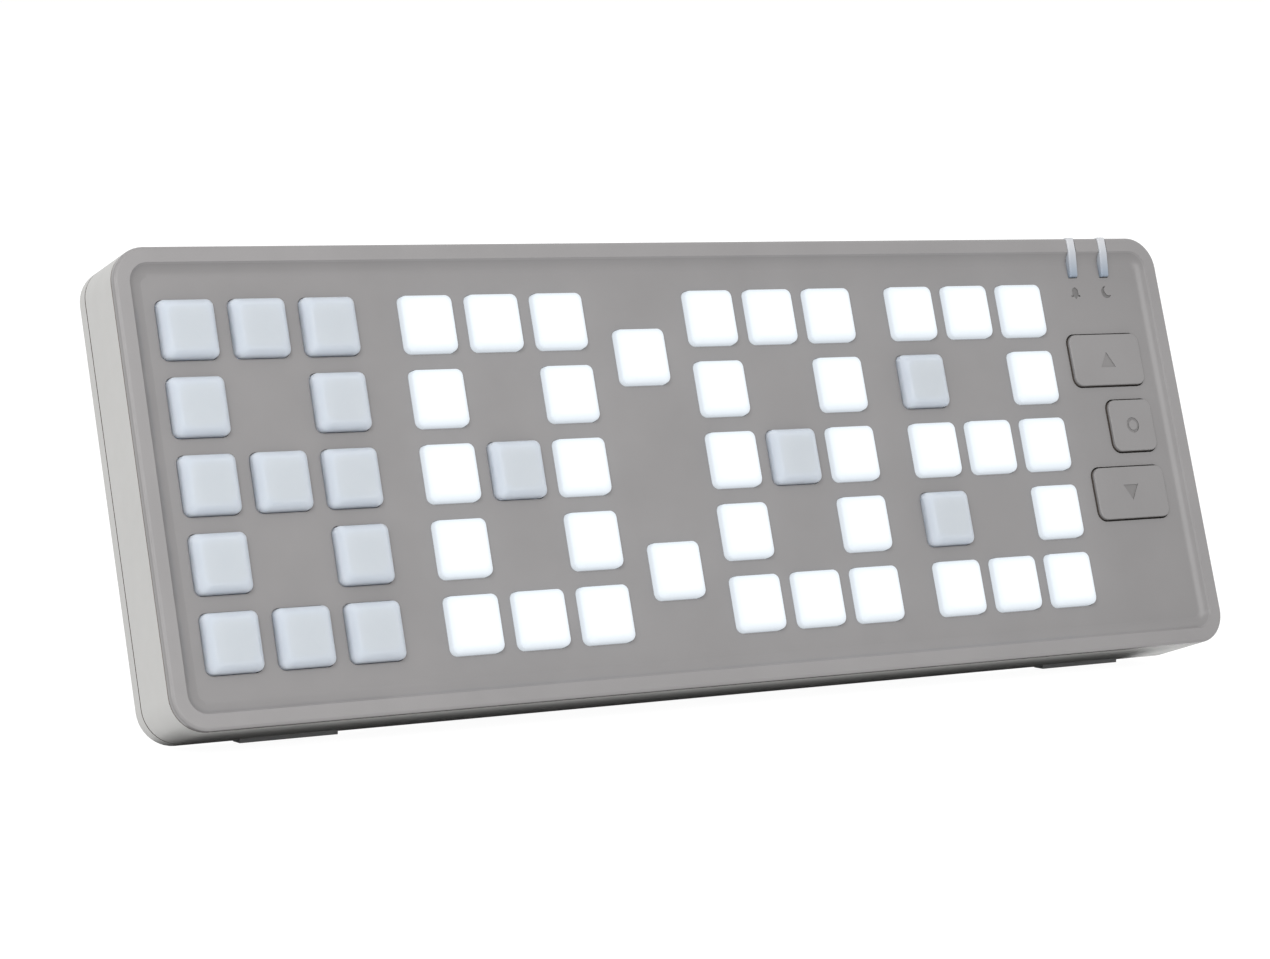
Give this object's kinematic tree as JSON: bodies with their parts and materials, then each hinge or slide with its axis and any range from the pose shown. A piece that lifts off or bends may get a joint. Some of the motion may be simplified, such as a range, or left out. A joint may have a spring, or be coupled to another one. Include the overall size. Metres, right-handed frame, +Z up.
{
  "type": "digital alarm clock",
  "caption": "Slim alarm clock that leans back on a rear foot and shows the time with square key caps lit from behind, with push buttons and indicator light pipes on the front.",
  "frame": {"origin": "on the surface that the clock stands on, below the middle of its box", "axes": "+X to the right of someone who reads the clock, +Y away from them, +Z up"},
  "size_m": [0.22, 0.0448, 0.0812],
  "materials": {
    "front_plastic": "satin warm grey",
    "case_plastic": "satin light grey",
    "rest_rubber": "matt grey",
    "lit_key": "translucent white, lit from behind",
    "dark_key": "translucent bluish white, unlit",
    "light_pipe": "translucent bluish white",
    "baffle_plastic": "matt white",
    "board": "green lacquer",
    "led": "clear over white",
    "black_plastic": "matt black",
    "plunger_plastic": "tan",
    "steel": "plated",
    "brass": "spring brass"
  },
  "bodies": {
    "case": {"front_cover": "front_plastic", "side_frame": "case_plastic", "rear_cover": "case_plastic", "rear_foot": "case_plastic", "edge_rest_pads": "rest_rubber", "foot_rest_pads": "rest_rubber", "colon_keys": "lit_key", "left_light_pipe": "light_pipe", "right_light_pipe": "light_pipe", "light_baffle": "baffle_plastic", "circuit_board": "board", "display_leds": "led", "indicator_leds": "led", "push_switches": "black_plastic", "clock_chip": "black_plastic", "driver_chips": "black_plastic", "crystal": "steel", "capacitors": "steel", "buzzer": "black_plastic", "power_socket": "steel", "cell_holder": "black_plastic", "cell_contact": "brass", "coin_cell": "steel", "case_screws": "steel", "board_screws": "steel", "foot_screws": "steel", "digit_1_dark_keys": "dark_key", "digit_2_lit_keys": "lit_key", "digit_2_dark_keys": "dark_key", "digit_3_lit_keys": "lit_key", "digit_3_dark_keys": "dark_key", "digit_4_lit_keys": "lit_key", "digit_4_dark_keys": "dark_key"},
    "up_button": {"up_button": "front_plastic", "up_plunger": "plunger_plastic"},
    "mode_button": {"mode_button": "front_plastic", "mode_plunger": "plunger_plastic"},
    "down_button": {"down_button": "front_plastic", "down_plunger": "plunger_plastic"},
    "battery_door": {"battery_door": "case_plastic"}
  },
  "joints": [
    {"name": "up_press", "type": "slide", "parent": "case", "child": "up_button", "axis": [0, 0.9563, -0.2924], "range_m": [0, 0.0006], "stiffness_N_per_m": 1000},
    {"name": "mode_press", "type": "slide", "parent": "case", "child": "mode_button", "axis": [0, 0.9563, -0.2924], "range_m": [0, 0.0006], "stiffness_N_per_m": 1000},
    {"name": "down_press", "type": "slide", "parent": "case", "child": "down_button", "axis": [0, 0.9563, -0.2924], "range_m": [0, 0.0006], "stiffness_N_per_m": 1000},
    {"name": "battery_door_turn", "type": "hinge", "parent": "case", "child": "battery_door", "pos_m": [-0.084, 0.00413, 0.03815], "axis": [0, -0.9563, 0.2924], "range_deg": [0, 60]}
  ]
}
